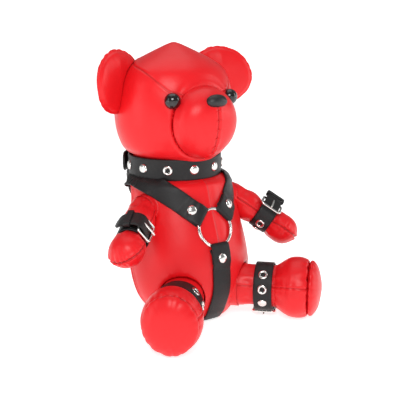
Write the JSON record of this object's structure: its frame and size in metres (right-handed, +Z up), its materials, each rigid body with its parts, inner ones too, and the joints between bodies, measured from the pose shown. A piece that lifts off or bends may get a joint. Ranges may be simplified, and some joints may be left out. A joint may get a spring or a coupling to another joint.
{
  "type": "stuffed toy bear",
  "caption": "Seated stuffed bear in red faux leather with a black strap harness, studded collar and buckled cuffs at wrists and ankles.",
  "frame": {"origin": "on the floor under the seat, on the middle of the strap that lies flush with it", "axes": "+Z up, the bear faces -Y, and its left is +X"},
  "size_m": [0.1926, 0.1691, 0.235],
  "materials": {
    "red_leather": "semi-gloss",
    "black_leather": "satin",
    "nickel": "polished",
    "wadding": "matte",
    "eye": "gloss",
    "nose": "satin",
    "washer": "matte"
  },
  "bodies": {
    "torso": {"torso_skin": "red_leather", "torso_stuffing": "wadding", "collar_strap": "black_leather", "collar_studs": "nickel", "collar_buckle": "nickel", "collar_keeper": "black_leather", "shoulder_strap_left": "black_leather", "shoulder_strap_right": "black_leather", "belly_strap": "black_leather", "harness_rivets": "nickel"},
    "head": {"head_skin": "red_leather", "head_stuffing": "wadding", "muzzle_skin": "red_leather", "muzzle_stuffing": "wadding", "ear_left": "red_leather", "ear_right": "red_leather", "eyes": "eye", "eye_washers": "washer", "nose": "nose", "nose_washer": "washer"},
    "arm_left": {"arm_left_skin": "red_leather", "arm_left_stuffing": "wadding", "wrist_left_strap": "black_leather", "wrist_left_studs": "nickel", "wrist_left_buckle": "nickel", "wrist_left_keeper": "black_leather"},
    "arm_right": {"arm_right_skin": "red_leather", "arm_right_stuffing": "wadding", "wrist_right_strap": "black_leather", "wrist_right_studs": "nickel", "wrist_right_buckle": "nickel", "wrist_right_keeper": "black_leather"},
    "leg_left": {"leg_left_skin": "red_leather", "leg_left_sole": "red_leather", "leg_left_stuffing": "wadding", "ankle_left_strap": "black_leather", "ankle_left_studs": "nickel", "ankle_left_buckle": "nickel", "ankle_left_keeper": "black_leather"},
    "leg_right": {"leg_right_skin": "red_leather", "leg_right_sole": "red_leather", "leg_right_stuffing": "wadding", "ankle_right_strap": "black_leather", "ankle_right_studs": "nickel", "ankle_right_buckle": "nickel", "ankle_right_keeper": "black_leather"},
    "front_ring": {"front_ring": "nickel"},
    "back_ring": {"back_ring": "nickel"},
    "collar_prong": {"collar_prong": "nickel"},
    "wrist_left_prong": {"wrist_left_prong": "nickel"},
    "wrist_right_prong": {"wrist_right_prong": "nickel"},
    "ankle_left_prong": {"ankle_left_prong": "nickel"},
    "ankle_right_prong": {"ankle_right_prong": "nickel"}
  },
  "joints": [
    {"name": "neck_turn", "type": "hinge", "parent": "torso", "child": "head", "pos_m": [0, 0.0155, 0.1306], "axis": [0, 0, 1], "range_deg": [-25, 25]},
    {"name": "collar_prong_lift", "type": "hinge", "parent": "torso", "child": "collar_prong", "pos_m": [-0.0171, 0.05514, 0.131], "axis": [0, 0, 1], "range_deg": [0, 25]},
    {"name": "shoulder_left_swing", "type": "hinge", "parent": "torso", "child": "arm_left", "pos_m": [0.047, -0.007, 0.098], "axis": [-0.682, -0.7314, 0], "range_deg": [-8, 20]},
    {"name": "hip_left_swing", "type": "hinge", "parent": "torso", "child": "leg_left", "pos_m": [0.031, -0.04, 0.027], "axis": [-0.7331, -0.6801, 0], "range_deg": [0, 12]},
    {"name": "wrist_left_prong_lift", "type": "hinge", "parent": "arm_left", "child": "wrist_left_prong", "pos_m": [0.07682, -0.02866, 0.0919], "axis": [-0.6134, 0.572, 0.5446], "range_deg": [0, 25]},
    {"name": "ankle_left_prong_lift", "type": "hinge", "parent": "leg_left", "child": "ankle_left_prong", "pos_m": [0.05109, -0.05137, 0.0052], "axis": [0.6801, -0.7331, 0], "range_deg": [0, 25]},
    {"name": "shoulder_right_swing", "type": "hinge", "parent": "torso", "child": "arm_right", "pos_m": [-0.047, -0.007, 0.098], "axis": [-0.682, 0.7314, 0], "range_deg": [-8, 20]},
    {"name": "hip_right_swing", "type": "hinge", "parent": "torso", "child": "leg_right", "pos_m": [-0.031, -0.04, 0.027], "axis": [-0.7331, 0.6801, 0], "range_deg": [0, 12]},
    {"name": "wrist_right_prong_lift", "type": "hinge", "parent": "arm_right", "child": "wrist_right_prong", "pos_m": [-0.06823, -0.03773, 0.09755], "axis": [-0.6781, -0.6323, -0.3746], "range_deg": [0, 25]},
    {"name": "ankle_right_prong_lift", "type": "hinge", "parent": "leg_right", "child": "ankle_right_prong", "pos_m": [-0.05109, -0.05137, 0.0052], "axis": [0.6801, 0.7331, 0], "range_deg": [0, 25]},
    {"name": "front_ring_turn", "type": "hinge", "parent": "torso", "child": "front_ring", "pos_m": [0, -0.0442, 0.084], "axis": [0, -0.9397, 0.342], "continuous": true},
    {"name": "back_ring_turn", "type": "hinge", "parent": "torso", "child": "back_ring", "pos_m": [0, 0.0486, 0.084], "axis": [0, 1, 0], "continuous": true}
  ]
}
